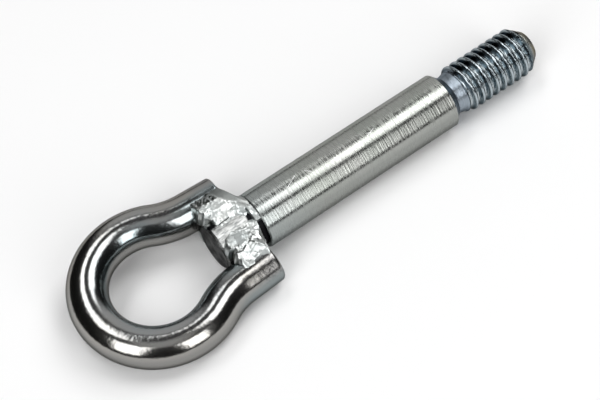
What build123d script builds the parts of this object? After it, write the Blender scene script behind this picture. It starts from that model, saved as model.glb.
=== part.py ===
"""Tow eye: a turned shaft with a screw end, welded between the legs of a bent round-bar ring.

It lies as it comes to rest: the shank and the right side of the ring touch the floor at Z = 0.
+X runs from the eye to the screw end, and left is +Y.
"""

import os
from math import asin, atan2, cos, degrees, radians, sin, sqrt

from build123d import *

os.makedirs("parts", exist_ok=True)

# Ring, bent from one round bar; radii are those of the bar's centreline
bar_diameter = 14.0
ring_radius = 22.6
bend_radius = 27.0
leg_reach = 35.0
leg_toe_in = 3.3
leg_clearance = 0.2
bar_end_round = 1.0

# Shaft, turned from one bar; reaches are measured from the centre of the eye
spigot_diameter = 17.0
spigot_reach = 22.6
spigot_chamfer = 0.8
shoulder_gap = 4.0
shank_diameter = 20.0
shank_length = 78.7
shank_chamfer = 0.4
neck_diameter = 14.4
neck_length = 2.4
neck_round = 0.7
thread_diameter = 17.9
thread_length = 33.0
tip_diameter = 11.0

# Weld beads in the four nips between the spigot and the legs; each is a low crown from a toe on
# the spigot to a toe on the leg, and tapers round the shaft from the leg's end to the shoulder
bead_radius = 18.0
bead_root = 3.0
bead_round = 2.5
bead_setback = 0.4
left_inner_toe = 0.3
left_outer_toe = 14.7
left_bead_gap = 0.6
left_taper_radius = 15.5
right_inner_toe = 3.2
right_outer_toe = 15.5
right_bead_gap = 1.4
right_taper_radius = 12.5
taper_hollow = 0.6

# Radii
bar_radius = bar_diameter / 2
spigot_radius = spigot_diameter / 2
shank_radius = shank_diameter / 2
neck_radius = neck_diameter / 2
thread_radius = thread_diameter / 2
tip_radius = tip_diameter / 2

# Stations along the shaft, from the centre of the eye
shoulder_x = leg_reach + shoulder_gap
chamfer_x = shoulder_x + shank_length
neck_x = chamfer_x + shank_radius - neck_radius
thread_x = neck_x + neck_length
tip_x = thread_x + thread_length

# Resting frame: eye centre at the origin, local +Z square to the ring, rolled until the ring's
# right side comes down as low as the thicker shank; the box round the part is centred on the origin
ring_reach = ring_radius + bar_radius
roll = asin((shank_radius - bar_radius) / ring_radius)
rest = Plane(
    origin=((ring_reach - tip_x) / 2, 0, shank_radius),
    x_dir=(1, 0, 0),
    z_dir=(0, -sin(roll), cos(roll)),
)
shaft_axis = Axis(rest.origin, rest.x_dir)


# Shaft: spigot, shank, neck and screw end
with BuildPart() as shaft:
    with BuildSketch(rest) as shaft_profile:
        with BuildLine():
            Polyline(
                (spigot_reach, 0),
                (spigot_reach, spigot_radius - spigot_chamfer),
                (spigot_reach + spigot_chamfer, spigot_radius),
                (shoulder_x, spigot_radius),
                (shoulder_x, shank_radius - shank_chamfer),
                (shoulder_x + shank_chamfer, shank_radius),
                (chamfer_x, shank_radius),
                (neck_x, neck_radius),
                (thread_x, neck_radius),
                (thread_x + thread_radius - neck_radius, thread_radius),
                (tip_x - thread_radius + tip_radius, thread_radius),
                (tip_x, tip_radius),
                (tip_x, 0),
                close=True,
            )
        make_face()
        neck_floor = shaft_profile.edges().filter_by(
            lambda edge: neck_x < edge.center().X < thread_x and edge.center().Y > 0
        )
        fillet(neck_floor.vertices(), radius=neck_round)
    revolve(axis=shaft_axis)

shaft.part.label = "shaft"
export_step(shaft.part, "parts/shaft.step")


# Ring: a round bar along one leg, out round the eye and back along the other leg
leg_end = Vector(leg_reach, spigot_radius + leg_clearance + bar_radius)
leg_along = Vector(cos(radians(leg_toe_in)), -sin(radians(leg_toe_in)))
leg_outward = Vector(sin(radians(leg_toe_in)), cos(radians(leg_toe_in)))
bend_track = leg_end + leg_outward * bend_radius
bend_back = bend_track.dot(leg_along)
bend_spread = (ring_radius + bend_radius) ** 2 - bend_track.dot(bend_track)
bend_centre = bend_track + leg_along * (sqrt(bend_back**2 + bend_spread) - bend_back)
bend_angle = degrees(atan2(bend_centre.Y, bend_centre.X))
leg_start = bend_centre - leg_outward * bend_radius
bend_sweep = 90 - leg_toe_in - bend_angle

with BuildPart() as ring:
    with BuildLine(rest) as bar_line:
        Line((leg_end.X, leg_end.Y), (leg_start.X, leg_start.Y))
        CenterArc((bend_centre.X, bend_centre.Y), bend_radius, 180 + bend_angle, bend_sweep)
        CenterArc((0, 0), ring_radius, bend_angle, 360 - 2 * bend_angle)
        CenterArc((bend_centre.X, -bend_centre.Y), bend_radius, 180 - bend_angle, -bend_sweep)
        Line((leg_start.X, -leg_start.Y), (leg_end.X, -leg_end.Y))
    with BuildSketch(bar_line.line ^ 0) as bar_section:
        Circle(bar_radius)
    sweep()
    cut_ends = ring.faces().filter_by(GeomType.PLANE)
    fillet(cut_ends.edges(), radius=bar_end_round)

ring.part.label = "ring"
export_step(ring.part, "parts/ring.step")


# Weld beads: runs of filler lying in a nip, fused up to the spigot and to the leg
bead_x = spigot_reach + bead_setback
leg_crest = sqrt(leg_end.Y**2 + bar_radius**2)


def weld_bead(name, side, up, inner_toe, outer_toe, end_gap, taper_radius):
    """One bead; side is +1 for left and -1 for right, up is +1 on top and -1 underneath."""
    bead_end = shoulder_x - end_gap
    inner = Vector(inner_toe, sqrt(spigot_radius**2 - inner_toe**2))
    outer = Vector(outer_toe, sqrt(bar_radius**2 - (leg_end.Y - outer_toe) ** 2))
    chord = outer - inner
    centre_drop = sqrt(bead_radius**2 - chord.dot(chord) / 4)
    centre = (inner + outer) / 2 - Vector(-chord.Y, chord.X).normalized() * centre_drop
    start = (bead_x, side * centre.X, up * centre.Y)
    run = Plane(origin=rest.from_local_coords(start), x_dir=rest.x_dir, z_dir=rest.z_dir)
    root = Plane(origin=rest.from_local_coords((0, 0, up * bead_root)), z_dir=rest.z_dir * up)
    middle = Plane(origin=rest.origin, z_dir=rest.y_dir * side)
    with BuildPart() as bead:
        with BuildSketch(run) as crown:
            Rectangle(bead_end - bead_x, bead_radius, align=(Align.MIN, Align.MIN))
            fillet(crown.vertices().group_by(Axis.Y)[-1], radius=bead_round)
        revolve(axis=Axis(run.origin, run.x_dir))
        with BuildSketch(rest):
            with BuildLine():
                Polyline(
                    (leg_reach, taper_radius),
                    (leg_reach, leg_crest),
                    (0, leg_crest),
                    (0, 0),
                    (shoulder_x, 0),
                    (shoulder_x, shank_radius),
                )
                SagittaArc((leg_reach, taper_radius), (shoulder_x, shank_radius), -taper_hollow)
            make_face()
        revolve(axis=shaft_axis, mode=Mode.INTERSECT)
        add(shaft.part, mode=Mode.SUBTRACT)
        add(ring.part, mode=Mode.SUBTRACT)
        split(bisect_by=root)
        split(bisect_by=middle)
    bead.part.label = name
    export_step(bead.part, f"parts/{name}.step")


left_sizes = (left_inner_toe, left_outer_toe, left_bead_gap, left_taper_radius)
right_sizes = (right_inner_toe, right_outer_toe, right_bead_gap, right_taper_radius)
weld_bead("upper_left_weld", 1, 1, *left_sizes)
weld_bead("upper_right_weld", -1, 1, *right_sizes)
weld_bead("lower_left_weld", 1, -1, *left_sizes)
weld_bead("lower_right_weld", -1, -1, *right_sizes)
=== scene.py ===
"""The dressed tow eye: bent ring bar, turned shaft with its rolled thread, and the weld between them.

Shapes are worked out in millimetres in the part's own frame, with the eye's centre at the origin,
+X along the shaft and +Z square to the ring, and then rolled and placed as the part lies.
"""

from math import asin, atan2, cos, pi, radians, sin, sqrt, tan

import bpy
import numpy as np
from mathutils import Matrix, Vector, noise


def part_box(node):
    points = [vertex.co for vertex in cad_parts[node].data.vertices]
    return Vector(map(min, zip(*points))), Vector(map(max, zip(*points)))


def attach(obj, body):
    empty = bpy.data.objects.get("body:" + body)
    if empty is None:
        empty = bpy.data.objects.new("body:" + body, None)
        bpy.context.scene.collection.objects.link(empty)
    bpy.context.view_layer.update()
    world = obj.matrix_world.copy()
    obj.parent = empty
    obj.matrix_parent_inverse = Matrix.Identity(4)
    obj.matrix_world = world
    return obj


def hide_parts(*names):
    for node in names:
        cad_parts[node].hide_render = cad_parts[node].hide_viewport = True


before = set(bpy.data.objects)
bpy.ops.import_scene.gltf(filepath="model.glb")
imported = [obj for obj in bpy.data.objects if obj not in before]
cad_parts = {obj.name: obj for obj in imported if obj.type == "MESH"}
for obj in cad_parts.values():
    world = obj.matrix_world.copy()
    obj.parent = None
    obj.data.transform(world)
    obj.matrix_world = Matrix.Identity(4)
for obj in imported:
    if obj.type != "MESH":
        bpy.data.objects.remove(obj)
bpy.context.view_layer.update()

MM = 0.001
sharp_angle = radians(38)

# Ring bar, as in the solid
bar_radius = 7.0
ring_radius = 22.6
bend_radius = 27.0
leg_reach = 35.0
leg_toe_in = radians(3.3)
leg_clearance = 0.2
bar_end_round = 1.0
bar_end_steps = 8
bar_step = 0.6
bar_segments = 96
bar_wave = 0.025
bar_wave_length = 6.0

# Shaft, as in the solid
spigot_radius = 8.5
spigot_reach = 22.6
spigot_chamfer = 0.8
shoulder_x = 39.0
shank_radius = 10.0
shank_chamfer = 0.4
chamfer_x = 117.7
neck_radius = 7.2
neck_length = 2.4
neck_round = 0.7
neck_round_steps = 6
thread_radius = 8.95
thread_length = 33.0
tip_radius = 5.5
shaft_segments = 144
shank_step = 0.5
hub_radius = 1.0
spigot_face_radius = 4.0
edge_band = 0.1
tip_edge_band = 0.2

# Thread, right-handed and rolled
thread_pitch = 3.2
thread_root_radius = 7.1
thread_flank = radians(59)
thread_crest_half = 0.3
thread_crest_round = 0.25
thread_root_round = 0.9
thread_crest_x = 125.7
thread_crest_turn = radians(28)
thread_run_in = 1.6
thread_step = 0.1
tip_slope = 0.8
collar_radius = 7.6
collar_slope = 0.25
collar_setback = 1.0
collar_length = 0.2

# Scratches on the shank: reach and angle about the shaft in degrees, at both ends
shank_scratches = (
    (51.9, 105.4, 56.8, 91.5),
    (60.4, 94.0, 62.0, 103.0),
    (85.1, 104.7, 88.6, 98.1),
    (85.6, 99.6, 86.9, 103.4),
)
scratch_half = 0.13

# Welds, worked out on a grid seen from above the ring's plane; each is a crown from a toe on the spigot
# to a toe on the leg, as in the solid, broken into facets and tapered round the shaft at the shoulder
weld_step = 0.15
weld_ragged = 0.3
weld_ragged_size = 1.3
weld_root = 3.0
weld_thickness = 0.5
weld_radius = 18.0
weld_lean_to = 8.0
weld_end_edge = 0.6
weld_overrun = 1.1
weld_hollow = 1.0
weld_taper_round = 0.6
weld_floor_gap = 0.3
zone_core = 0.6
facet_size = 4.0
facet_height = 0.75
crumb_size = 1.1
crumb_height = 0.1
calm_share = 0.7
warp_size = 3.0
warp_reach = 0.8
crack_half = 0.24
crack_depth = 0.5
fill_blend = 1.5
fill_darkening = 0.45
bridge_length = 2.5
bridge_run = 0.7
bridge_sink = 0.3
bridge_crumple = 0.3
speck_size = 0.65
speck_stretch = 2.5
speck_lean = radians(60)
speck_soot = 0.9
speck_share = 0.6
speck_contrast = 2.5
# A weld is painted dark as shade along its start where the start is set back past this reach, as in a pit
weld_pit_x = 23.8
weld_pit_blend = 0.6
weld_pit_rim = 0.4
weld_pit_fade = 0.8

# Random heights for the welds, and shifts that keep their noises apart
table_size = 64
warp_shift = (30, 60)
ragged_shift = 5
crumb_shift = (40, 20)
speck_shift = (9, 3)

# The two kinds of weld: inner and outer are the toes' offsets, lean lifts the crown towards the leg, taper
# is the radius about the shaft at the leg's end, across is how far the grid runs past the shaft's middle,
# and nose is the length of the rounded start. Starts, ends and fill are lines of offset and reach, crack is
# a line of reach and offset, and sooty and calm are zones: a middle and half widths along and across
left_weld = dict(
    inner=0.3, outer=14.7, lean=0.08, taper=15.5, across=4.5, nose=1.5, seed=2413,
    starts=((0.0, 25.0), (4.4, 24.7), (5.6, 23.0), (7.5, 23.5), (9.0, 22.9), (11.0, 23.5), (16.0, 22.9)),
    ends=((-5.0, 39.0), (16.0, 39.0)),
    fill=((-5.0, 42.0), (3.3, 36.0), (10.5, 31.0), (16.0, 30.0)),
    crack=((25.8, 1.0), (28.2, 1.7), (30.6, 2.0)),
    shadowed=(28.8, 12.4, 4.6, 3.6),
    calm=(35.0, 8.0, 2.0, 2.0),
)
right_weld = dict(
    inner=3.2, outer=15.5, lean=0.0, taper=12.5, across=-2.1, nose=1.8, seed=796,
    starts=(
        (2.0, 24.0), (4.6, 23.8), (5.3, 22.9), (8.0, 22.9),
        (8.7, 24.3), (9.8, 24.1), (10.6, 23.3), (16.0, 23.3),
    ),
    ends=((2.0, 38.9), (3.6, 38.5), (5.0, 37.6), (8.0, 37.2), (10.0, 36.7), (13.5, 35.6), (16.0, 35.0)),
    fill=((2.0, 42.0), (16.0, 42.0)),
    crack=((24.0, 9.5), (25.5, 10.7), (27.0, 11.1), (28.8, 10.2)),
    shadowed=(32.5, 9.5, 1.6, 2.6),
    calm=(27.6, 5.6, 3.8, 3.0),
)

# Finishes: a rim is how bright a metal stays at grazing angles, a tone is a place along a value and a linear
# colour there, scales and streaks are in ripples per metre, and spans, reaches and depths in millimetres
# Heights of the normals over which the sides are darkened as painted shade, fully below the first
low_shade_normals = (0.2, 0.52)

# Ring finish
ring_rim = (0.3, 0.3, 0.3)
ring_roughness = (0.16, 0.22)
ring_grey = (0.33, 0.337, 0.337)
ring_tones = ((0.1, (0.275, 0.335, 0.35)), (0.45, ring_grey), (0.95, (0.345, 0.335, 0.315)))
ring_tone_span = (ring_radius - bar_radius + 4.0, ring_radius + bar_radius + 6.0)
ring_cloud_scale = 70.0
ring_cloud_reach = 12.0
ring_flaw_scale = 420.0
heat_span = (22.0, 33.0)
heat_rise = (-0.3, 0.45)
heat_dulls = (0.35, 1.05)
heat_brown = (0.305, 0.30, 0.295)
leg_span = (14.0, 22.0)
leg_inside = (15.0, 17.5)
leg_right = (-19.5, -16.5)
leg_blue = (0.275, 0.33, 0.345)
leg_blue_share = 0.7
fleck_span = (24.0, 29.0)
fleck_scale = 1100.0
fleck_noise = (0.48, 0.64)
fleck_share = 0.7
fleck_black = (0.06, 0.056, 0.058)
# Painted shade low on the ring's sides, and bluer on the right leg
ring_shade_brown = (0.262, 0.259, 0.25)
ring_shade_blue = (0.25, 0.275, 0.277)
ring_pit_scale = 700.0
ring_pit_depth = 0.048
ring_calm_span = (12.0, 24.0)
ring_calm_share = 0.45

# Shank finish
shank_rim = (0.4, 0.4, 0.4)
shank_roughness = (0.2, 0.42)
shank_anisotropy = 0.65
shank_grain_turn = 0.25
shank_streaks = (3600.0, 180.0, 180.0)
shank_streak_noise = (0.44, 0.72)
shank_cloud_scale = 60.0
shank_grey = (0.385, 0.405, 0.375)
shank_tones = ((0.35, shank_grey), (0.65, (0.435, 0.44, 0.42)))
# Painted shade low on the shank's sides
shank_shade_grey = (0.30, 0.31, 0.295)
shank_blue = (0.34, 0.385, 0.395)
shank_blue_share = 0.45
shank_blue_length = 22.0
scratch_white = (0.95, 0.95, 0.95)
scratch_roughness = 0.3
lathe_scale = 1500.0
lathe_depth = 0.05
lathe_coarser_from = 70.0
lathe_strength = (0.6, 1.3)

# Spigot finish
spigot_rim = (0.5, 0.5, 0.5)
spigot_roughness = 0.36
spigot_streaks = (420.0, 1500.0, 1500.0)
spigot_streak_depth = 0.09
spigot_grey = (0.5, 0.51, 0.5)
spigot_tones = ((0.36, (0.27, 0.28, 0.28)), (0.5, spigot_grey), (0.62, (0.66, 0.67, 0.66)))
spigot_flaw_scale = 300.0
# Painted shade on the spigot: near black in the gap before the shoulder, in the pit by the left weld's start,
# and in patches on its end between the legs
spigot_shade_black = (0.008, 0.008, 0.009)
shoulder_shade_span = (35.5, 36.0)
shoulder_shade_slant = -0.2
end_shade_span = (spigot_reach + 0.1, spigot_reach + 0.9)
end_shade_flaws = (0.38, 0.68)
end_shade_share = (0.98, 0.65)
spigot_pit = (23.6, 3.0, 8.0)
spigot_pit_span = (4.6, 5.4)
spigot_pit_ragged = 6.0

# Thread finish, with painted light and shade from the root to the crest over pale blue plating: pale at the
# root, dark on the flanks and pale blue on the crests, and near black but for the crests on the left side
thread_rim = (0.3, 0.3, 0.3)
thread_blue = (0.42, 0.475, 0.505)
thread_light_and_shade = (
    (0.15, (0.54, 0.59, 0.61)),
    (0.36, (0.29, 0.34, 0.37)),
    (0.52, (0.18, 0.225, 0.25)),
    (0.86, (0.165, 0.20, 0.215)),
    (0.95, thread_blue),
)
thread_left_shade = ((0.55, (0.015, 0.02, 0.025)), (0.97, (0.39, 0.44, 0.465)))
thread_left_shade_span = (-0.8, 1.8)
thread_roughness = (0.24, 0.13)
thread_rough_root = 0.5
thread_lines = (2400.0, 240.0, 240.0)
thread_line_depth = 0.22
neck_blue = (0.295, 0.34, 0.385)
neck_roughness = 0.28
neck_blend = (0.5, 2.0)
tip_tones = ((0.4, (0.17, 0.17, 0.16)), (0.62, (0.30, 0.27, 0.19)))
tip_cloud_scale = 260.0
tip_blend = (0.4, 1.0)

# Weld finish
weld_rim = (0.6, 0.6, 0.6)
weld_roughness = 0.34
weld_grey = (0.63, 0.65, 0.635)
weld_tones = ((0.35, (0.49, 0.525, 0.52)), (0.65, weld_grey))
weld_soot_and_shade_black = (0.03, 0.035, 0.03)
weld_cloud_scale = 160.0
weld_grain_scale = 1200.0
weld_grain_depth = 0.04

# Stations along the shaft
neck_x = chamfer_x + shank_radius - neck_radius
thread_x = neck_x + neck_length
collar_foot_x = thread_x - collar_setback
collar_x = collar_foot_x + (collar_radius - neck_radius) / collar_slope
tip_x = thread_x + thread_length
tip_chamfer_x = tip_x - (thread_radius - tip_radius) / tip_slope
bridge_x = shoulder_x - bridge_length

# How the part lies
eye_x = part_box("ring")[0].x / MM + ring_radius + bar_radius
roll = asin((shank_radius - bar_radius) / ring_radius)

# Camera
camera_target = Vector((-7.4, -2.7, 10.0)) * MM
camera_azimuth = radians(-117.4)
camera_elevation = radians(51.9)
camera_roll = radians(-10.9)
camera_distance = 0.5648
camera_lens = 102.0
camera_sensor = 36.0

# Softboxes: name, then azimuth, elevation, width, height and turn in degrees, seen from the part
softboxes = (
    ("right_box", -84.8, 32.3, 21.7, 40.3, 1.3),
    ("screw_end_box", -3.7, 58.6, 26.0, 39.4, 39.5),
    ("left_box", 108.0, 69.0, 35.5, 16.5, 25.0),
    ("eye_end_box", -156.0, 36.5, 25.5, 43.5, 0.0),
)
softbox_distance = 2.5
softbox_radiance = 3.95
floor_half = 6.0
floor_colour = (0.95, 0.95, 0.95, 1.0)

# Room round the softboxes: its dim level, and a pale ceiling overhead and a pale wall behind the part, each
# with its azimuth, elevation, reach and blend in degrees, and its level
room_level = 0.012
pale_ceiling = (-113.0, 72.0, 14.0, 16.0, 0.57)
pale_wall = (53.0, 27.0, 27.0, 14.0, 0.67)


def to_row(points):
    """Points of the part's own frame, in millimetres, as points of the row frame, in metres."""
    x, y, z = np.asarray(points, float).T
    lying = np.column_stack((
        eye_x + x,
        y * cos(roll) - z * sin(roll),
        shank_radius + y * sin(roll) + z * cos(roll),
    ))
    return lying * MM


def row_x(reach):
    """A reach along the shaft as an X of the row frame, in metres."""
    return (eye_x + reach) * MM


def add_piece(name, points, faces, materials, node):
    """A mesh piece that stands for one solid of the part."""
    mesh = bpy.data.meshes.new(name)
    mesh.from_pydata(to_row(points).tolist(), [], faces)
    mesh.validate()
    for material in materials:
        mesh.materials.append(material)
    mesh.shade_smooth()
    mesh.set_sharp_from_angle(angle=sharp_angle)
    piece = bpy.data.objects.new(name, mesh)
    bpy.context.scene.collection.objects.link(piece)
    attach(piece, "root")
    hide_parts(node)
    return piece


def tube_faces(rings, segments):
    """Faces of a closed tube of rings, each with the same count of points, and its two end caps."""
    faces = []
    for i in range(rings - 1):
        for j in range(segments):
            k = (j + 1) % segments
            faces.append((i * segments + j, (i + 1) * segments + j, (i + 1) * segments + k, i * segments + k))
    faces.append(tuple(range(segments)))
    faces.append(tuple(reversed(range((rings - 1) * segments, rings * segments))))
    return faces


def smooth_step(value):
    """Eases from 0 to 1 as value goes from 0 to 1."""
    t = np.clip(value, 0.0, 1.0)
    return t * t * (3 - 2 * t)


def smooth_min(a, b, width):
    """The lower of two values, with the corner between them rounded."""
    h = np.clip(width - np.abs(a - b), 0.0, None) / width
    return np.minimum(a, b) - h * h * width / 4


# Shader nodes; the owner is the material or world that they belong to
def new_node(owner, kind, **settings):
    """A new shader node with its properties set."""
    made = owner.node_tree.nodes.new(kind)
    for key, value in settings.items():
        setattr(made, key, value)
    return made


def link(owner, output, socket):
    """Joins an output to a socket."""
    owner.node_tree.links.new(output, socket)


def noise_at(owner, vector, scale, detail, dimensions="3D"):
    """A noise texture read at a vector, or at a single value where dimensions is 1D."""
    made = new_node(owner, "ShaderNodeTexNoise", noise_dimensions=dimensions)
    made.inputs["Scale"].default_value = scale
    made.inputs["Detail"].default_value = detail
    link(owner, vector, made.inputs["W" if dimensions == "1D" else "Vector"])
    return made.outputs["Fac"]


def ramp(owner, value, tones):
    """Colours along a value."""
    made = new_node(owner, "ShaderNodeValToRGB")
    elements = made.color_ramp.elements
    while len(elements) < len(tones):
        elements.new(0.5)
    for element, (place, colour) in zip(elements, tones):
        element.position = place
        element.color = (*colour, 1.0)
    link(owner, value, made.inputs["Fac"])
    return made.outputs["Color"]


def spread(owner, value, span, to=(0.0, 1.0), easing="LINEAR"):
    """Maps a value from one span to another, held at the ends."""
    made = new_node(owner, "ShaderNodeMapRange", interpolation_type=easing)
    for key, number in zip(("From Min", "From Max", "To Min", "To Max"), (*span, *to)):
        made.inputs[key].default_value = number
    link(owner, value, made.inputs["Value"])
    return made.outputs["Result"]


def spread_along(owner, along, span, to=(0.0, 1.0)):
    """Maps the place along the shaft from a span of reaches to another span."""
    first, last = span
    return spread(owner, along, (row_x(first), row_x(last)), to)


def spread_length(owner, length, span, to=(0.0, 1.0)):
    """Maps a length in metres from a span in millimetres to another span."""
    first, last = span
    return spread(owner, length, (first * MM, last * MM), to)


def stretched(owner, vector, scale):
    """A vector scaled along each axis."""
    made = new_node(owner, "ShaderNodeMapping")
    made.inputs["Scale"].default_value = scale
    link(owner, vector, made.inputs["Vector"])
    return made.outputs["Vector"]


def object_place(owner):
    """The place on the part, in metres of the row frame."""
    return new_node(owner, "ShaderNodeTexCoord").outputs["Object"]


def reaches(owner, vector):
    """A vector's parts along the shaft, across it and up, each as a value."""
    made = new_node(owner, "ShaderNodeSeparateXYZ")
    link(owner, vector, made.inputs["Vector"])
    return made.outputs


def mixed(owner, share, first, second):
    """First colour where share is 0 and second where it is 1; either may be a colour or an output."""
    made = new_node(owner, "ShaderNodeMix", data_type="RGBA")
    link(owner, share, made.inputs["Factor"])
    # Inputs 6 and 7 and output 2 are the node's colours
    for socket, colour in ((made.inputs[6], first), (made.inputs[7], second)):
        if isinstance(colour, tuple):
            socket.default_value = (*colour, 1.0)
        else:
            link(owner, colour, socket)
    return made.outputs[2]


def calculated(owner, operation, *terms):
    """One sum on values; each term may be an output or a number."""
    made = new_node(owner, "ShaderNodeMath", operation=operation)
    for socket, term in zip(made.inputs, terms):
        if isinstance(term, float):
            socket.default_value = term
        else:
            link(owner, term, socket)
    return made.outputs["Value"]


def vector_math(owner, operation, first, second, output="Vector"):
    """One sum on vectors; either may be a fixed vector."""
    made = new_node(owner, "ShaderNodeVectorMath", operation=operation)
    for socket, value in zip(made.inputs, (first, second)):
        if isinstance(value, Vector):
            socket.default_value = value
        else:
            link(owner, value, socket)
    return made.outputs[output]


# Materials
def metal(name, colour, roughness, rim):
    """A plated metal, and its shader, whose plain colour and roughness the finish may vary."""
    material = bpy.data.materials.new(name)
    material.use_nodes = True
    shader = material.node_tree.nodes["Principled BSDF"]
    shader.inputs["Base Color"].default_value = (*colour, 1.0)
    shader.inputs["Metallic"].default_value = 1.0
    shader.inputs["Roughness"].default_value = roughness
    shader.inputs["Specular Tint"].default_value = (*rim, 1.0)
    return material, shader


def bump(material, shader, height, depth):
    """Raises the surface by height times a depth in millimetres."""
    made = new_node(material, "ShaderNodeBump")
    made.inputs["Distance"].default_value = depth * MM
    made.inputs["Strength"].default_value = 1.0
    link(material, height, made.inputs["Height"])
    link(material, made.outputs["Normal"], shader.inputs["Normal"])


def low_shade_share(material):
    """1 low on the part's sides, where the colour is darkened as painted shade, and 0 on top."""
    normal = new_node(material, "ShaderNodeTexCoord").outputs["Normal"]
    return spread(material, reaches(material, normal)["Z"], low_shade_normals, (1.0, 0.0))


def eye_tint(material, place):
    """The ring's plating, bluer by the eye and browner outside, with a cloudy change between them."""
    eye = Vector((eye_x, 0.0, shank_radius)) * MM
    from_eye = vector_math(material, "DISTANCE", place, eye, "Value")
    cloud = noise_at(material, place, ring_cloud_scale, detail=2.0)
    wander = calculated(material, "MULTIPLY_ADD", cloud, ring_cloud_reach * MM, from_eye)
    return ramp(material, spread_length(material, wander, ring_tone_span), ring_tones)


def ring_metal():
    """Bright plating over drawn bar: bluer between the legs, browner and mottled towards the welded ends,
    with painted shade low on its sides.
    """
    material, shader = metal("ring_plating", ring_grey, ring_roughness[0], ring_rim)
    place = object_place(material)
    along = reaches(material, place)["X"]
    sideways = reaches(material, place)["Y"]
    flaws = noise_at(material, place, ring_flaw_scale, detail=4.0)
    heat = calculated(material, "ADD", spread_along(material, along, heat_span, heat_rise), flaws)
    dull = spread(material, heat, heat_dulls)
    heated = mixed(material, dull, eye_tint(material, place), heat_brown)

    # Blue on the inner sides of the legs
    on_legs = spread_along(material, along, leg_span)
    squared = calculated(material, "MULTIPLY", sideways, sideways)
    inner_side = [(offset * MM) ** 2 for offset in leg_inside]
    inward = spread(material, squared, inner_side, (leg_blue_share, 0.0))
    blued = mixed(material, calculated(material, "MULTIPLY", inward, on_legs), heated, leg_blue)

    # Dark flecks on the outer side of the right leg
    rightward = spread_length(material, sideways, leg_right, (1.0, 0.0))
    specks = noise_at(material, place, fleck_scale, detail=2.0)
    flecks = spread(material, specks, fleck_noise, (0.0, fleck_share))
    near_weld = spread_along(material, along, fleck_span)
    flecked = calculated(material, "MULTIPLY", flecks, calculated(material, "MULTIPLY", near_weld, rightward))
    mottled = mixed(material, flecked, blued, fleck_black)

    # Painted shade low on the sides, bluer there on the right leg
    shade_blue_share = calculated(material, "MULTIPLY", on_legs, rightward)
    shade_tint = mixed(material, shade_blue_share, ring_shade_brown, ring_shade_blue)
    shaded = mixed(material, low_shade_share(material), mottled, shade_tint)
    link(material, shaded, shader.inputs["Base Color"])
    link(material, spread(material, dull, (0.0, 1.0), ring_roughness), shader.inputs["Roughness"])
    calmer = spread_along(material, along, ring_calm_span, (1.0, ring_calm_share))
    pits = noise_at(material, place, ring_pit_scale, detail=3.0)
    bump(material, shader, calculated(material, "MULTIPLY", pits, calmer), ring_pit_depth)
    return material


def shank_point(reach, turn):
    """A point on the shank at a reach and an angle about the shaft in degrees, in the row frame."""
    across, up = cos(radians(turn)), sin(radians(turn))
    return Vector((eye_x + reach, shank_radius * across, shank_radius * (1 + up))) * MM


def scratch_share(material, place):
    """1 along the shank's scratches, 0 elsewhere."""
    nearest = None
    for reach, turn, end_reach, end_turn in shank_scratches:
        start = shank_point(reach, turn)
        run = shank_point(end_reach, end_turn) - start
        offset = vector_math(material, "SUBTRACT", place, start)
        share = vector_math(material, "DOT_PRODUCT", offset, run / run.length_squared, "Value")
        foot = vector_math(material, "MULTIPLY", spread(material, share, (0.0, 1.0)), run)
        away = vector_math(material, "DISTANCE", offset, foot, "Value")
        nearest = away if nearest is None else calculated(material, "MINIMUM", nearest, away)
    return spread_length(material, nearest, (scratch_half / 2, scratch_half), (1.0, 0.0))


def shank_metal():
    """Turned steel: satin, with fine lathe lines round the shank, each a little different, scratches, and
    painted shade low on its sides.
    """
    material, shader = metal("shank_plating", shank_grey, shank_roughness[0], shank_rim)
    shader.inputs["Anisotropic"].default_value = shank_anisotropy
    shader.inputs["Anisotropic Rotation"].default_value = shank_grain_turn
    tangent = new_node(material, "ShaderNodeTangent", direction_type="RADIAL", axis="X")
    link(material, tangent.outputs["Tangent"], shader.inputs["Tangent"])
    place = object_place(material)
    along = reaches(material, place)["X"]
    scratched = scratch_share(material, place)
    streaks = noise_at(material, stretched(material, place, shank_streaks), scale=1.0, detail=3.0)
    satin = spread(material, streaks, shank_streak_noise, shank_roughness)
    rough = calculated(material, "MULTIPLY_ADD", scratched, scratch_roughness, satin)
    link(material, rough, shader.inputs["Roughness"])
    tint = ramp(material, noise_at(material, place, shank_cloud_scale, detail=2.0), shank_tones)
    # Painted shade low on the sides
    low_shaded = mixed(material, low_shade_share(material), tint, shank_shade_grey)
    blue_span = (shoulder_x, shoulder_x + shank_blue_length)
    blued = spread_along(material, along, blue_span, (shank_blue_share, 0.0))
    plating = mixed(material, blued, low_shaded, shank_blue)
    link(material, mixed(material, scratched, plating, scratch_white), shader.inputs["Base Color"])
    coarser = spread_along(material, along, (lathe_coarser_from, chamfer_x), lathe_strength)
    lines = noise_at(material, along, lathe_scale, detail=4.0, dimensions="1D")
    bump(material, shader, calculated(material, "MULTIPLY", lines, coarser), lathe_depth)
    return material


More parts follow.
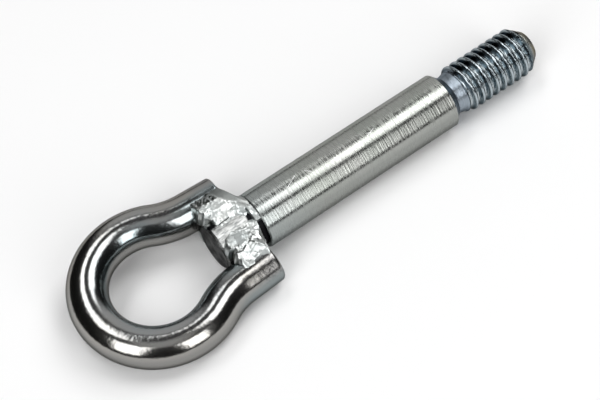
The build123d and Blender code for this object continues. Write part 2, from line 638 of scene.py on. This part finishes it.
def spigot_shade_share(material, place):
    """1 where painted shade lies on the spigot: in the gap at the shoulder, in a pit and in patches on its
    end.
    """
    flaws = noise_at(material, place, spigot_flaw_scale, detail=3.0)
    slope = Vector((1.0, shoulder_shade_slant, 0.0))
    slanted = vector_math(material, "DOT_PRODUCT", place, slope, "Value")
    at_shoulder = spread_along(material, slanted, shoulder_shade_span)
    pit = Vector(to_row([spigot_pit])[0])
    from_pit = vector_math(material, "DISTANCE", place, pit, "Value")
    ragged = calculated(material, "MULTIPLY_ADD", flaws, spigot_pit_ragged * MM, from_pit)
    at_pit = spread_length(material, ragged, spigot_pit_span, (1.0, 0.0))
    at_end = spread_along(material, reaches(material, place)["X"], end_shade_span, (1.0, 0.0))
    patchy = spread(material, flaws, end_shade_flaws, end_shade_share)
    on_end = calculated(material, "MULTIPLY", at_end, patchy)
    return calculated(material, "MAXIMUM", calculated(material, "MAXIMUM", at_shoulder, on_end), at_pit)


def spigot_metal():
    """The spigot between the welds, with drawn streaks along it and painted shade."""
    material, shader = metal("spigot_plating", spigot_grey, spigot_roughness, spigot_rim)
    place = object_place(material)
    streaks = noise_at(material, stretched(material, place, spigot_streaks), scale=1.0, detail=4.0)
    pale = ramp(material, streaks, spigot_tones)
    # Painted shade, near black, in the gap, the pit and on the end
    shadowed = mixed(material, spigot_shade_share(material, place), pale, spigot_shade_black)
    link(material, shadowed, shader.inputs["Base Color"])
    bump(material, shader, streaks, spigot_streak_depth)
    return material


def thread_metal():
    """Rolled thread with painted light and shade: pale at the roots, dark on the flanks, pale blue on the
    crests and darker on the left side; brownish at the tip, and its neck.
    """
    material, shader = metal("thread_plating", thread_blue, thread_roughness[1], thread_rim)
    place = object_place(material)
    along = reaches(material, place)["X"]
    sideways = reaches(material, place)["Y"]
    across = vector_math(material, "MULTIPLY", place, Vector((0.0, 1.0, 1.0)))
    axis = Vector((0.0, 0.0, shank_radius * MM))
    from_axis = vector_math(material, "DISTANCE", across, axis, "Value")
    above_root = spread_length(material, from_axis, (thread_root_radius, thread_radius))
    neck_span = [collar_x + blend for blend in neck_blend]
    before_thread = spread_along(material, along, neck_span, (1.0, 0.0))
    height = calculated(material, "MAXIMUM", above_root, before_thread)
    # Painted shade on the left side, near black but for the crests, and painted light and shade by height on
    # the right
    left_shade_share = spread_length(material, sideways, thread_left_shade_span)
    right_light_and_shade = ramp(material, height, thread_light_and_shade)
    left_shade = ramp(material, height, thread_left_shade)
    turns = mixed(material, left_shade_share, right_light_and_shade, left_shade)
    necked = mixed(material, before_thread, turns, neck_blue)
    tip_start, tip_end = tip_blend
    at_tip = spread_along(material, along, (tip_chamfer_x + tip_start, tip_x - tip_end))
    tip_tint = ramp(material, noise_at(material, place, tip_cloud_scale, detail=2.0), tip_tones)
    link(material, mixed(material, at_tip, necked, tip_tint), shader.inputs["Base Color"])
    rolled = spread(material, above_root, (0.0, thread_rough_root), thread_roughness)
    turned = spread(material, before_thread, (0.0, 1.0), (0.0, neck_roughness))
    link(material, calculated(material, "MAXIMUM", rolled, turned), shader.inputs["Roughness"])
    tool_lines = noise_at(material, stretched(material, place, thread_lines), scale=1.0, detail=3.0)
    bump(material, shader, tool_lines, thread_line_depth)
    return material


def weld_metal():
    """Plated weld metal, bright and rough on a fine scale, with soot specks, painted shade in its crack and
    pit, and a darker fill.
    """
    material, shader = metal("weld_plating", weld_grey, weld_roughness, weld_rim)
    place = object_place(material)
    # Soot specks, and painted shade in the crack and the pit, read from the beads
    soot_and_shade = new_node(material, "ShaderNodeAttribute", attribute_name="soot_and_shade").outputs["Fac"]
    bright = ramp(material, noise_at(material, place, weld_cloud_scale, detail=2.0), weld_tones)
    link(material, mixed(material, soot_and_shade, bright, weld_soot_and_shade_black), shader.inputs["Base Color"])
    bump(material, shader, noise_at(material, place, weld_grain_scale, detail=3.0), weld_grain_depth)
    return material


# Ring bar
def bar_line():
    """The bar's centreline from the left leg's end round the eye: points, outward sides and end insets."""
    leg_end = Vector((leg_reach, spigot_radius + leg_clearance + bar_radius))
    along = Vector((cos(leg_toe_in), -sin(leg_toe_in)))
    outward = Vector((sin(leg_toe_in), cos(leg_toe_in)))
    track = leg_end + outward * bend_radius
    back = track.dot(along)
    bend_spread = (ring_radius + bend_radius) ** 2 - track.dot(track)
    bend_centre = track + along * (sqrt(back**2 + bend_spread) - back)
    bend_angle = atan2(bend_centre.y, bend_centre.x)
    leg_start = bend_centre - outward * bend_radius
    bend_sweep = pi / 2 - leg_toe_in - bend_angle
    leg_length = (leg_end - leg_start).length
    points, sides = [], []

    # Leg, with closer points round its end
    end_turns = [pi / 2 * i / bar_end_steps for i in range(bar_end_steps)]
    near_end = [bar_end_round * (1 - cos(turn)) for turn in end_turns]
    plain = np.linspace(bar_end_round, leg_length, int(leg_length / bar_step))
    for reach in [*near_end, *plain]:
        points.append(leg_end - along * reach)
        sides.append(outward)

    # Reverse bend, and half of the ring
    for turn in np.linspace(0, bend_sweep, int(bend_sweep * bend_radius / bar_step))[1:]:
        heading = pi + bend_angle + bend_sweep - turn
        side = Vector((cos(heading), sin(heading)))
        points.append(bend_centre + side * bend_radius)
        sides.append(-side)
    half_ring = pi - bend_angle
    for turn in np.linspace(0, half_ring, int(half_ring * ring_radius / bar_step))[1:]:
        side = Vector((cos(bend_angle + turn), sin(bend_angle + turn)))
        points.append(side * ring_radius)
        sides.append(side)

    # The other half, mirrored
    mirrored = [Vector((p.x, -p.y)) for p in reversed(points[:-1])]
    mirrored_sides = [Vector((s.x, -s.y)) for s in reversed(sides[:-1])]
    inset = [bar_end_round * (1 - sin(turn)) for turn in end_turns]
    insets = inset + [0.0] * (2 * len(points) - 1 - 2 * bar_end_steps) + inset[::-1]
    return points + mirrored, sides + mirrored_sides, insets


def ring_bar(material):
    """The bent bar, with the slight waviness that bending leaves."""
    centres, sides, insets = bar_line()
    vertices = []
    for centre, side, inset in zip(centres, sides, insets):
        for j in range(bar_segments):
            angle = 2 * pi * j / bar_segments
            outward = Vector((side.x * cos(angle), side.y * cos(angle), sin(angle)))
            point = Vector((centre.x, centre.y, 0)) + outward * (bar_radius - inset)
            wave = noise.noise(point / bar_wave_length) * bar_wave
            vertices.append(point + outward * wave)
    faces = tube_faces(len(centres), bar_segments)
    add_piece("ring_bar", vertices, faces, [material], "ring")


# Shaft
def plain_stations():
    """Pairs of reach and radius from the spigot's end to the start of the thread."""
    stations = [
        (spigot_reach, hub_radius),
        (spigot_reach, spigot_face_radius),
        (spigot_reach, spigot_radius - spigot_chamfer - edge_band),
        (spigot_reach, spigot_radius - spigot_chamfer),
        (spigot_reach + spigot_chamfer, spigot_radius),
    ]
    for x in np.arange(spigot_reach + spigot_chamfer + shank_step, shoulder_x, shank_step):
        stations.append((x, spigot_radius))
    stations.append((shoulder_x, spigot_radius))
    stations.append((shoulder_x, shank_radius - shank_chamfer))
    stations.append((shoulder_x + shank_chamfer, shank_radius))
    for x in np.arange(shoulder_x + shank_chamfer + shank_step, chamfer_x, shank_step):
        stations.append((x, shank_radius))
    stations.append((chamfer_x, shank_radius))
    stations.append((chamfer_x + edge_band, shank_radius - edge_band))
    round_run = neck_round * tan(pi / 8)
    for i in range(neck_round_steps + 1):
        turn = pi / 4 * (1 - i / neck_round_steps)
        x = neck_x + round_run - neck_round * sin(turn)
        stations.append((x, neck_radius + neck_round * (1 - cos(turn))))
    stations.append((collar_foot_x, neck_radius))
    stations.append((collar_x, collar_radius))
    return stations


def thread_surface(x, turn):
    """Radius of the screw end at reach x and at angles turn about the shaft."""
    lead = (x - thread_crest_x) / thread_pitch - (turn - thread_crest_turn) / (2 * pi)
    from_crest = thread_pitch * np.abs(lead - np.round(lead))
    flank = thread_radius - (from_crest - thread_crest_half) * tan(thread_flank)
    crest = smooth_min(flank, np.full_like(flank, thread_radius), thread_crest_round)
    screw = -smooth_min(-crest, np.full_like(flank, -thread_root_radius), thread_root_round)
    begun = smooth_step((x - collar_x - collar_length) / thread_run_in)
    cone = tip_radius + (tip_x - x) * tip_slope
    return np.minimum(collar_radius + begun * (screw - collar_radius), cone)


def threaded_shaft(spigot_material, shank_material, thread_material):
    """The turned shaft with its rolled thread."""
    turns = 2 * pi * np.arange(shaft_segments) / shaft_segments
    rings = [(x, np.full(shaft_segments, radius)) for x, radius in plain_stations()]
    for x in np.arange(collar_x + thread_step, tip_x - thread_step / 2, thread_step):
        rings.append((x, thread_surface(x, turns)))
    for radius in (tip_radius, tip_radius - tip_edge_band, hub_radius):
        rings.append((tip_x, np.full(shaft_segments, radius)))
    points = []
    for x, radius in rings:
        reach = np.full(shaft_segments, x)
        points.append(np.column_stack((reach, radius * np.cos(turns), radius * np.sin(turns))))
    faces = tube_faces(len(rings), shaft_segments)
    materials = [spigot_material, shank_material, thread_material]
    piece = add_piece("threaded_shaft", np.vstack(points), faces, materials, "shaft")

    # Materials change at the shoulder and at the shank's end, and the first end cap is the spigot's
    for polygon in piece.data.polygons:
        reach = rings[min(polygon.index // shaft_segments, len(rings) - 1)][0]
        polygon.material_index = int(reach >= shoulder_x) + int(reach > chamfer_x + edge_band / 2)
    piece.data.polygons[len(faces) - 2].material_index = 0


# Welds
def facet_noise(x, y, size, table):
    """Random heights on a lattice of triangles, joined by flat facets."""
    skew = (x + y) * (sqrt(3) - 1) / 2
    u = (x + skew) / size
    v = (y + skew) / size
    i = np.floor(u).astype(int)
    j = np.floor(v).astype(int)
    u = u - i
    v = v - j
    count = len(table)
    near = table[i % count, j % count]
    far = table[(i + 1) % count, (j + 1) % count]
    beside = np.where(u > v, table[(i + 1) % count, j % count], table[i % count, (j + 1) % count])
    return near * (1 - np.maximum(u, v)) + beside * np.abs(u - v) + far * np.minimum(u, v)


def soft_noise(x, y, size, table):
    """Random heights on a square lattice, joined smoothly."""
    i = np.floor(x / size).astype(int)
    j = np.floor(y / size).astype(int)
    u = smooth_step(x / size - i)
    v = smooth_step(y / size - j)
    count = len(table)
    low = table[i % count, j % count] * (1 - u) + table[(i + 1) % count, j % count] * u
    high = table[i % count, (j + 1) % count] * (1 - u) + table[(i + 1) % count, (j + 1) % count] * u
    return low * (1 - v) + high * v


def line_at(y, line):
    """Reach of a line at offsets y."""
    offsets, line_reaches = zip(*line)
    return np.interp(y, offsets, line_reaches)


def from_line(x, y, line):
    """Distance from a line of points."""
    nearest = np.full(x.shape, np.inf)
    for (x0, y0), (x1, y1) in zip(line, line[1:]):
        squared = (x1 - x0) ** 2 + (y1 - y0) ** 2
        share = np.clip(((x - x0) * (x1 - x0) + (y - y0) * (y1 - y0)) / squared, 0, 1)
        nearest = np.minimum(nearest, np.hypot(x - x0 - share * (x1 - x0), y - y0 - share * (y1 - y0)))
    return nearest


def in_zone(x, y, zone):
    """1 in the core of a zone, fading to 0 a little past its edge."""
    middle_x, middle_y, half_x, half_y = zone
    outward = np.hypot((x - middle_x) / half_x, (y - middle_y) / half_y)
    return 1 - smooth_step((outward - zone_core) / zone_core)


def weld_grid(sizes):
    """Reaches and offsets of the grid that a weld is worked out on."""
    first_x = min(reach for offset, reach in sizes["starts"]) - weld_ragged
    xs = np.arange(first_x, shoulder_x + weld_step / 2, weld_step)
    ys = np.arange(-sizes["across"], sizes["outer"] + weld_overrun, weld_step)
    return np.meshgrid(xs, ys, indexing="ij")


def crumpled(x, y, warp, calm, table):
    """Heights of a weld's facets and crumbs, lower in a calm zone."""
    crumb_x, crumb_y = crumb_shift
    broken = facet_height * facet_noise(x + warp, y - warp, facet_size, table)
    broken += crumb_height * facet_noise(x - warp + crumb_x, y + warp + crumb_y, crumb_size, table)
    return broken * (1 - calm_share * in_zone(x, y, calm))


def taper_radius(x, taper):
    """Radius about the shaft that a weld keeps within, from the leg's end to the shoulder."""
    along = np.clip((x - leg_reach) / (shoulder_x - leg_reach), 0, 1)
    return taper + (shank_radius - taper) * along - 4 * weld_hollow * along * (1 - along)


def crown_height(y, inner, outer):
    """Height of a weld's crown over the ring's plane, from its toe on the spigot to its toe on the leg."""
    leg_y = spigot_radius + leg_clearance + bar_radius
    inner_toe = Vector((inner, sqrt(spigot_radius**2 - inner**2)))
    outer_toe = Vector((outer, sqrt(bar_radius**2 - (leg_y - outer) ** 2)))
    chord = outer_toe - inner_toe
    normal = Vector((-chord.y, chord.x)).normalized()
    centre = (inner_toe + outer_toe) / 2 - normal * sqrt(weld_radius**2 - chord.length_squared / 4)
    return centre.y + np.sqrt(weld_radius**2 - (y - centre.x) ** 2)


def weld_height(x, y, start, end, filled, broken, sizes):
    """Height of a weld: its broken crown, tapered at the shoulder and rounded down at both ends."""
    inner, outer = sizes["inner"], sizes["outer"]
    leaning = 1 - smooth_step((y - weld_lean_to) / (outer - weld_lean_to))
    lean = sizes["lean"] * (y - inner) * leaning
    height = crown_height(y, inner, outer) + lean + broken * (1 - filled)
    fill = np.sqrt(np.clip(taper_radius(x, sizes["taper"]) ** 2 - y**2, weld_root**2, None))
    height = np.where(x < leg_reach, height, smooth_min(height, fill, weld_taper_round))
    nose = np.sqrt(1 - (1 - np.clip((x - start) / sizes["nose"], 0, 1)) ** 2)
    rise = nose * smooth_step((end - x) / weld_end_edge + filled)
    return weld_root + (height - weld_root) * rise


def bridge_height(x, y, end, broken):
    """Height of the metal that bridges from the spigot to the shank."""
    stepped = smooth_step((x - bridge_x) / bridge_run) * smooth_step((end - x) / weld_end_edge + 1)
    radius = spigot_radius - bridge_sink + stepped * (shank_radius - spigot_radius)
    return np.sqrt(np.clip(radius**2 - y**2, weld_root**2, None)) + bridge_crumple * broken * stepped


def weld_soot_and_shade(x, y, start, filled, crack, sizes, table):
    """Soot and painted shade on a weld: soot specks in the sooty zone, painted shade in the crack and in a
    pit at the start, and a darker trace on the fill.
    """
    shift_x, shift_y = speck_shift
    slant_x = (x * cos(speck_lean) + y * sin(speck_lean)) / speck_stretch
    slant_y = y * cos(speck_lean) - x * sin(speck_lean)
    grain = facet_noise(slant_x + shift_x, slant_y + shift_y, speck_size, table)
    specks = speck_soot * smooth_step(speck_share + speck_contrast * grain) * in_zone(x, y, sizes["shadowed"])
    set_back = smooth_step((start - weld_pit_x) / weld_pit_blend)
    pit = set_back * (1 - smooth_step((x - start - weld_pit_rim) / weld_pit_fade))
    # The crack and the pit are painted dark as shade; the specks are soot
    soot_and_shade = np.maximum(specks, np.maximum(crack, pit)) * (1 - filled)
    return np.maximum(soot_and_shade, fill_darkening * filled)


def slab(x, y, top, bottom, inside):
    """Points and faces of a slab over the grid cells that are wholly inside, and which points it uses."""
    rows, columns = x.shape
    count = rows * columns
    cells = inside[:-1, :-1] & inside[1:, :-1] & inside[:-1, 1:] & inside[1:, 1:]
    padded = np.pad(cells, 1)
    faces = []
    for i, j in zip(*np.nonzero(cells)):
        a = int(i * columns + j)
        b, c, d = a + columns, a + columns + 1, a + 1
        faces.append((a, b, c, d))
        faces.append((d + count, c + count, b + count, a + count))
        for neighbour, near, far in (
            (padded[i + 1, j], a, b),
            (padded[i + 2, j + 1], b, c),
            (padded[i + 1, j + 2], c, d),
            (padded[i, j + 1], d, a),
        ):
            if not neighbour:
                faces.append((far, near, near + count, far + count))
    points = np.vstack((
        np.column_stack((x.ravel(), y.ravel(), top.ravel())),
        np.column_stack((x.ravel(), y.ravel(), bottom.ravel())),
    ))
    used = np.unique(np.array(faces))
    renumbered = np.zeros(2 * count, int)
    renumbered[used] = np.arange(len(used))
    return points[used], [tuple(int(k) for k in renumbered[list(face)]) for face in faces], used


def weld_bead(name, side, up, sizes, material):
    """One weld: side is 1 for left and -1 for right, up is 1 on top and -1 underneath."""
    table = np.random.default_rng(sizes["seed"]).uniform(-1, 1, (table_size, table_size))
    x, y = weld_grid(sizes)
    warp_x, warp_y = warp_shift
    warp = warp_reach * soft_noise(x + warp_x, y + warp_y, warp_size, table)
    ragged = soft_noise(y, np.full_like(y, ragged_shift), weld_ragged_size, table)
    start = line_at(y, sizes["starts"]) + weld_ragged * ragged
    end = line_at(y, sizes["ends"])
    filled = smooth_step((x - line_at(y, sizes["fill"])) / fill_blend)
    crack = 1 - smooth_step(from_line(x + warp / 2, y - warp / 2, sizes["crack"]) / crack_half)
    broken = crumpled(x, y, warp, sizes["calm"], table) - crack_depth * crack

    # Top, bridged to the shank by the shaft's middle and held clear of the floor underneath
    height = weld_height(x, y, start, end, filled, broken, sizes)
    bridged = (y < sizes["inner"] + weld_overrun) & (x > bridge_x)
    height = np.where(bridged, np.maximum(height, bridge_height(x, y, end, broken)), height)
    if up < 0:
        height = np.minimum(height, (shank_radius - weld_floor_gap + side * y * sin(roll)) / cos(roll))

    # Outline
    in_taper = (x < leg_reach) | (y**2 + weld_root**2 < taper_radius(x, sizes["taper"]) ** 2)
    past_toe = bridged | (y > sizes["inner"] - weld_overrun)
    inside = (x > start) & (x < end + weld_step) & in_taper & past_toe

    base = np.full(x.shape, up * (weld_root - weld_thickness))
    points, faces, used = slab(x, side * y, up * height, base, inside)
    if side * up < 0:
        faces = [face[::-1] for face in faces]
    piece = add_piece(name.replace("weld", "bead"), points, faces, [material], name)
    soot_and_shade = weld_soot_and_shade(x, y, start, filled, crack, sizes, table)
    layer = piece.data.attributes.new("soot_and_shade", "FLOAT", "POINT")
    layer.data.foreach_set("value", np.tile(soot_and_shade.ravel(), 2)[used])


# Studio
def add_floor():
    """A plain pale floor."""
    mesh = bpy.data.meshes.new("floor")
    corners = [(x * floor_half, y * floor_half, 0.0) for x, y in ((-1, -1), (1, -1), (1, 1), (-1, 1))]
    mesh.from_pydata(corners, [], [(0, 1, 2, 3)])
    material = bpy.data.materials.new("floor_paper")
    material.use_nodes = True
    shader = material.node_tree.nodes["Principled BSDF"]
    shader.inputs["Base Color"].default_value = floor_colour
    shader.inputs["Roughness"].default_value = 1.0
    shader.inputs["Specular IOR Level"].default_value = 0.0
    mesh.materials.append(material)
    floor = bpy.data.objects.new("floor", mesh)
    bpy.context.scene.collection.objects.link(floor)


def direction(azimuth, elevation):
    """Unit vector at an azimuth from +X and an elevation above the floor, in radians."""
    return Vector((cos(azimuth) * cos(elevation), sin(azimuth) * cos(elevation), sin(elevation)))


def add_softbox(name, azimuth, elevation, width, height, turn):
    """A softbox that faces the part, with its angles and sizes in degrees."""
    lamp = bpy.data.lights.new(name, "AREA")
    lamp.shape = "RECTANGLE"
    lamp.size = 2 * softbox_distance * tan(radians(width) / 2)
    lamp.size_y = 2 * softbox_distance * tan(radians(height) / 2)
    lamp.energy = softbox_radiance * pi * lamp.size * lamp.size_y
    holder = bpy.data.objects.new(name, lamp)
    towards = direction(radians(azimuth), radians(elevation))
    holder.location = towards * softbox_distance
    facing = towards.to_track_quat("Z", "Y").to_matrix() @ Matrix.Rotation(radians(turn), 3, "Z")
    holder.rotation_euler = facing.to_euler()
    holder.visible_camera = False
    bpy.context.scene.collection.objects.link(holder)


def add_room():
    """The dim room round the softboxes, with its pale ceiling and back wall."""
    world = bpy.data.worlds.new("studio")
    world.use_nodes = True
    place = new_node(world, "ShaderNodeTexCoord").outputs["Generated"]
    levels = []
    for *angles, level in (pale_ceiling, pale_wall):
        azimuth, elevation, reach, blend = (radians(angle) for angle in angles)
        facing = vector_math(world, "DOT_PRODUCT", place, direction(azimuth, elevation), "Value")
        edge = (cos(reach + blend / 2), cos(reach - blend / 2))
        levels.append(spread(world, facing, edge, (room_level, level), "SMOOTHSTEP"))
    brighter = calculated(world, "MAXIMUM", *levels)
    link(world, brighter, world.node_tree.nodes["Background"].inputs["Color"])
    bpy.context.scene.world = world


def add_camera():
    """The camera, placed round its target and turned about its own axis."""
    data = bpy.data.cameras.new("camera")
    data.lens = camera_lens
    data.sensor_width = camera_sensor
    camera = bpy.data.objects.new("camera", data)
    towards = direction(camera_azimuth, camera_elevation)
    level = towards.to_track_quat("Z", "Y").to_matrix()
    turned = level @ Matrix.Rotation(camera_roll, 3, "Z")
    camera.matrix_world = Matrix.Translation(camera_target + towards * camera_distance) @ turned.to_4x4()
    bpy.context.scene.collection.objects.link(camera)
    bpy.context.scene.camera = camera


bpy.context.scene.view_settings.view_transform = "Standard"
ring_bar(ring_metal())
threaded_shaft(spigot_metal(), shank_metal(), thread_metal())
weld_finish = weld_metal()
weld_bead("upper_left_weld", 1, 1, left_weld, weld_finish)
weld_bead("upper_right_weld", -1, 1, right_weld, weld_finish)
weld_bead("lower_left_weld", 1, -1, left_weld, weld_finish)
weld_bead("lower_right_weld", -1, -1, right_weld, weld_finish)
add_floor()
for box_values in softboxes:
    add_softbox(*box_values)
add_room()
add_camera()
